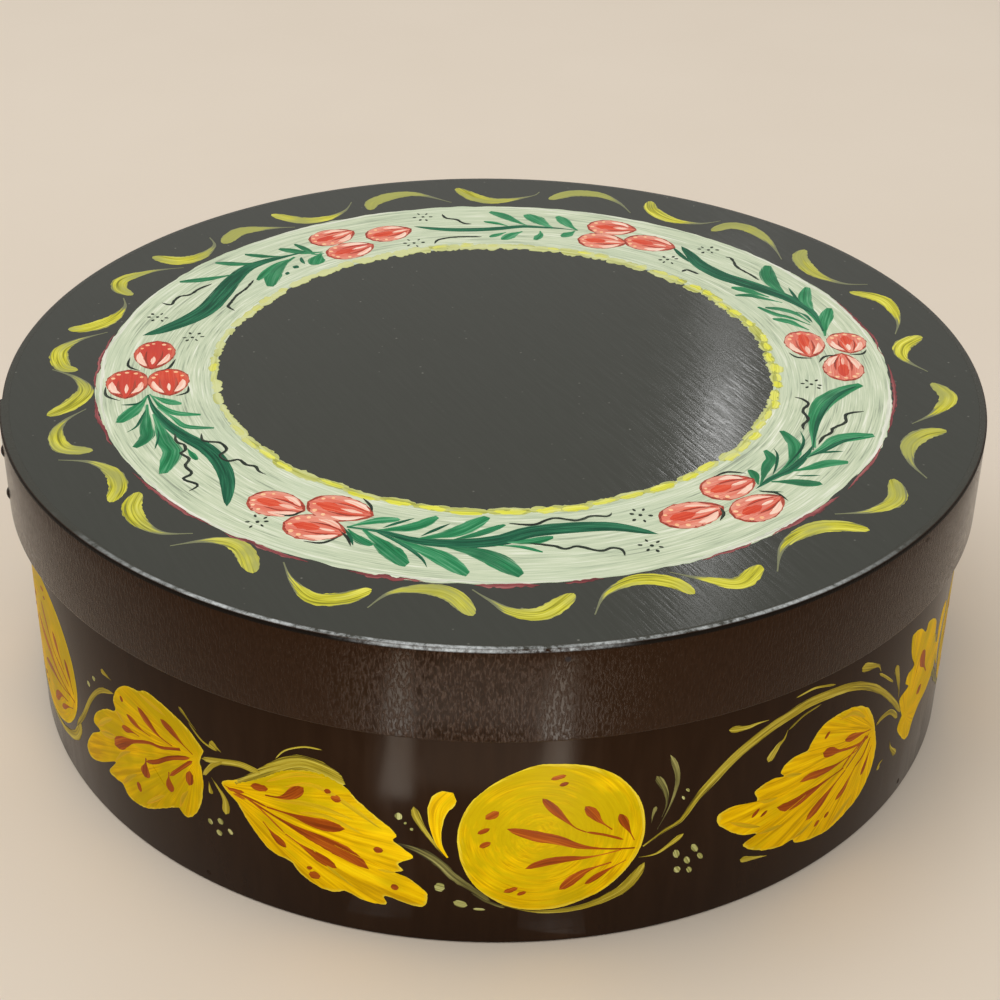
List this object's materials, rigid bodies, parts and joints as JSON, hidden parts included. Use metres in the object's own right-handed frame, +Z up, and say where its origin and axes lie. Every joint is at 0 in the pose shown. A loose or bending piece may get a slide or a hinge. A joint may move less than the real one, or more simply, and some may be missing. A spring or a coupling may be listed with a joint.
{
  "type": "painted wooden box",
  "caption": "Low round bentwood box with a lift-off lid, black paint, a wreath of berries and leaves on the lid and a golden fruit-and-leaf vine round the side; holds dry goods or small things.",
  "frame": {"origin": "middle of the underside of the base, on the surface that the box stands on", "axes": "+Z up along the box's axis; -Y is the front, the side that the picture shows"},
  "size_m": [0.2594, 0.2594, 0.088],
  "materials": {
    "black_paint": "satin-gloss black oil paint, brushed on wood",
    "bare_wood": "planed, unpainted",
    "painted_tack": "iron, painted over with the box",
    "white_paint": "thin brushed artist's paint, satin",
    "yellow_paint": "brush strokes of artist's paint, satin",
    "gold_paint": "brush strokes of artist's paint, satin",
    "green_paint": "brush strokes of artist's paint, satin",
    "red_paint": "brush strokes of artist's paint, satin",
    "brown_paint": "brush strokes of artist's paint, satin"
  },
  "bodies": {
    "box": {"base_board": "bare_wood", "box_band": "black_paint", "box_lap_tacks": "painted_tack", "base_brads": "painted_tack"},
    "lid": {"lid_board": "black_paint", "lid_band": "black_paint", "lid_lap_tacks": "painted_tack", "lid_brads": "painted_tack"}
  },
  "joints": [
    {"name": "lid_lift", "type": "slide", "parent": "box", "child": "lid", "axis": [0, 0, 1], "range_m": [0, 0.1]}
  ]
}
